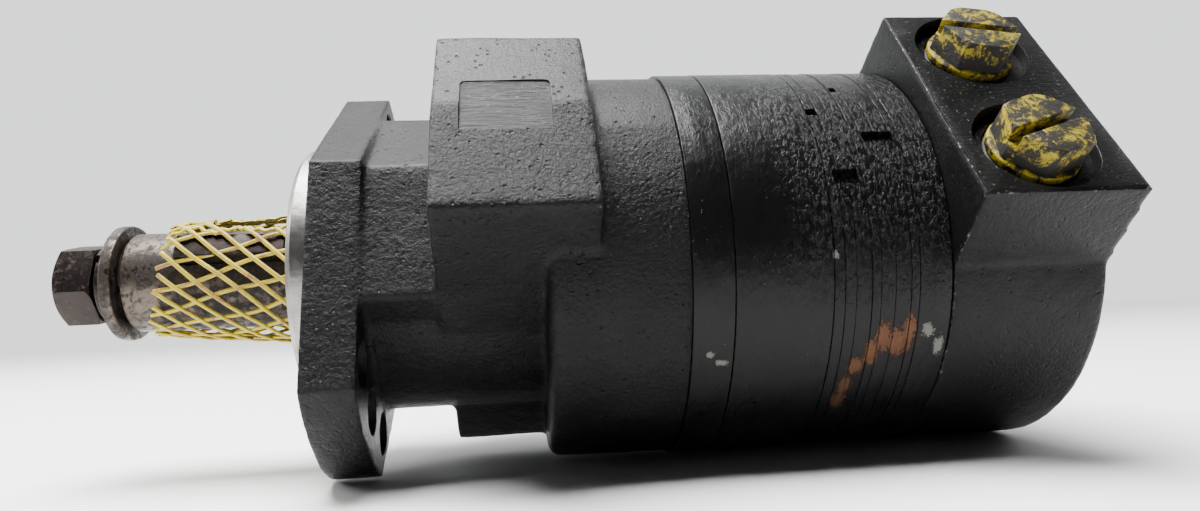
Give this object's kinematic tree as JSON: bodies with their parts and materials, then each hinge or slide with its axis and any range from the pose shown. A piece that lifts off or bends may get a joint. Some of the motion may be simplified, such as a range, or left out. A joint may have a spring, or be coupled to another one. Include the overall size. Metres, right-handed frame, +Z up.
{
  "type": "hydraulic motor",
  "caption": "Orbit hydraulic motor with a mounting flange, a keyed output shaft, a stacked body and two plugged side ports.",
  "frame": {"origin": "on the shaft axis, at the centre of the flat rear face of the end cover", "axes": "+X along the shaft axis from the shaft end to the rear face; +Z up as the motor lies on a floor; the ports face up and towards -Y"},
  "size_m": [0.3126, 0.1475, 0.1409],
  "materials": {
    "black_paint": "gloss black paint over cast iron and steel, chipped at edges",
    "seal_rubber": "satin",
    "brass": "satin",
    "bearing_steel": "ground",
    "ground_steel": "ground, oily",
    "dark_steel": "black oxide with light rust",
    "worn_steel": "bare turned steel with light rust",
    "yellow_plastic": "moulded, grimy",
    "net_plastic": "extruded net"
  },
  "bodies": {
    "housing": {"housing": "black_paint", "dust_seal": "seal_rubber", "shaft_seal": "seal_rubber", "backup_washer": "brass", "front_bearing": "bearing_steel", "thrust_bearing": "bearing_steel", "rear_bearing": "bearing_steel", "thrust_washer": "brass", "wear_plate": "black_paint", "stator": "black_paint", "manifold_plate_1": "black_paint", "manifold_plate_2": "black_paint", "manifold_plate_3": "black_paint", "manifold_plate_4": "black_paint", "manifold_plate_5": "black_paint", "manifold_plate_6": "black_paint", "manifold_plate_7": "black_paint", "commutator_ring": "black_paint", "end_cover": "black_paint", "port_plug_1": "yellow_plastic", "port_plug_2": "yellow_plastic", "plug_oring_1": "seal_rubber", "plug_oring_2": "seal_rubber", "body_seal_1": "seal_rubber", "body_seal_2": "seal_rubber", "body_seal_3": "seal_rubber", "body_seal_4": "seal_rubber", "body_seal_5": "seal_rubber", "cover_bolt_1": "dark_steel", "cover_bolt_2": "dark_steel", "cover_bolt_3": "dark_steel", "cover_bolt_4": "dark_steel", "cover_bolt_5": "dark_steel", "cover_bolt_6": "dark_steel", "cover_bolt_7": "dark_steel"},
    "shaft": {"coupling_shaft": "worn_steel", "shaft_key": "dark_steel", "shaft_washer": "worn_steel", "lock_washer": "dark_steel", "shaft_bolt": "dark_steel", "netting_sleeve": "net_plastic"},
    "commutator": {"commutator": "ground_steel", "commutator_seal": "brass"},
    "rotor": {"rotor": "ground_steel"},
    "drive_link": {"drive_link": "dark_steel"},
    "vane_1": {"vane_roller_1": "bearing_steel"},
    "vane_2": {"vane_roller_2": "bearing_steel"},
    "vane_3": {"vane_roller_3": "bearing_steel"},
    "vane_4": {"vane_roller_4": "bearing_steel"},
    "vane_5": {"vane_roller_5": "bearing_steel"},
    "vane_6": {"vane_roller_6": "bearing_steel"},
    "vane_7": {"vane_roller_7": "bearing_steel"}
  },
  "joints": [
    {"name": "shaft_spin", "type": "hinge", "parent": "housing", "child": "shaft", "pos_m": [-0.2, 0, 0], "axis": [1, 0, 0], "continuous": true},
    {"name": "commutator_orbit", "type": "hinge", "parent": "housing", "child": "commutator", "pos_m": [-0.05235, 0, 0], "axis": [1, 0, 0], "continuous": true},
    {"name": "rotor_spin", "type": "hinge", "parent": "commutator", "child": "rotor", "pos_m": [-0.09585, 0.00259, -0.00204], "axis": [1, 0, 0], "continuous": true},
    {"name": "link_spin", "type": "hinge", "parent": "commutator", "child": "drive_link", "pos_m": [-0.15585, 0, 0], "axis": [0.9985, 0.0431, -0.034], "continuous": true},
    {"name": "vane_spin_1", "type": "hinge", "parent": "housing", "child": "vane_1", "pos_m": [-0.09585, 0.02982, -0.02355], "axis": [1, 0, 0], "continuous": true},
    {"name": "vane_spin_2", "type": "hinge", "parent": "housing", "child": "vane_2", "pos_m": [-0.09585, 0.00018, -0.038], "axis": [1, 0, 0], "continuous": true},
    {"name": "vane_spin_3", "type": "hinge", "parent": "housing", "child": "vane_3", "pos_m": [-0.09585, -0.0296, -0.02383], "axis": [1, 0, 0], "continuous": true},
    {"name": "vane_spin_4", "type": "hinge", "parent": "housing", "child": "vane_4", "pos_m": [-0.09585, -0.03709, 0.00828], "axis": [1, 0, 0], "continuous": true},
    {"name": "vane_spin_5", "type": "hinge", "parent": "housing", "child": "vane_5", "pos_m": [-0.09585, -0.01665, 0.03416], "axis": [1, 0, 0], "continuous": true},
    {"name": "vane_spin_6", "type": "hinge", "parent": "housing", "child": "vane_6", "pos_m": [-0.09585, 0.01632, 0.03431], "axis": [1, 0, 0], "continuous": true},
    {"name": "vane_spin_7", "type": "hinge", "parent": "housing", "child": "vane_7", "pos_m": [-0.09585, 0.03701, 0.00863], "axis": [1, 0, 0], "continuous": true}
  ],
  "couplings": [
    {"joint": "commutator_orbit", "follows": "shaft_spin", "ratio": -6},
    {"joint": "rotor_spin", "follows": "shaft_spin", "ratio": 7},
    {"joint": "link_spin", "follows": "shaft_spin", "ratio": 7},
    {"joint": "vane_spin_1", "follows": "shaft_spin", "ratio": -3.75},
    {"joint": "vane_spin_2", "follows": "shaft_spin", "ratio": -3.75},
    {"joint": "vane_spin_3", "follows": "shaft_spin", "ratio": -3.75},
    {"joint": "vane_spin_4", "follows": "shaft_spin", "ratio": -3.75},
    {"joint": "vane_spin_5", "follows": "shaft_spin", "ratio": -3.75},
    {"joint": "vane_spin_6", "follows": "shaft_spin", "ratio": -3.75},
    {"joint": "vane_spin_7", "follows": "shaft_spin", "ratio": -3.75}
  ]
}
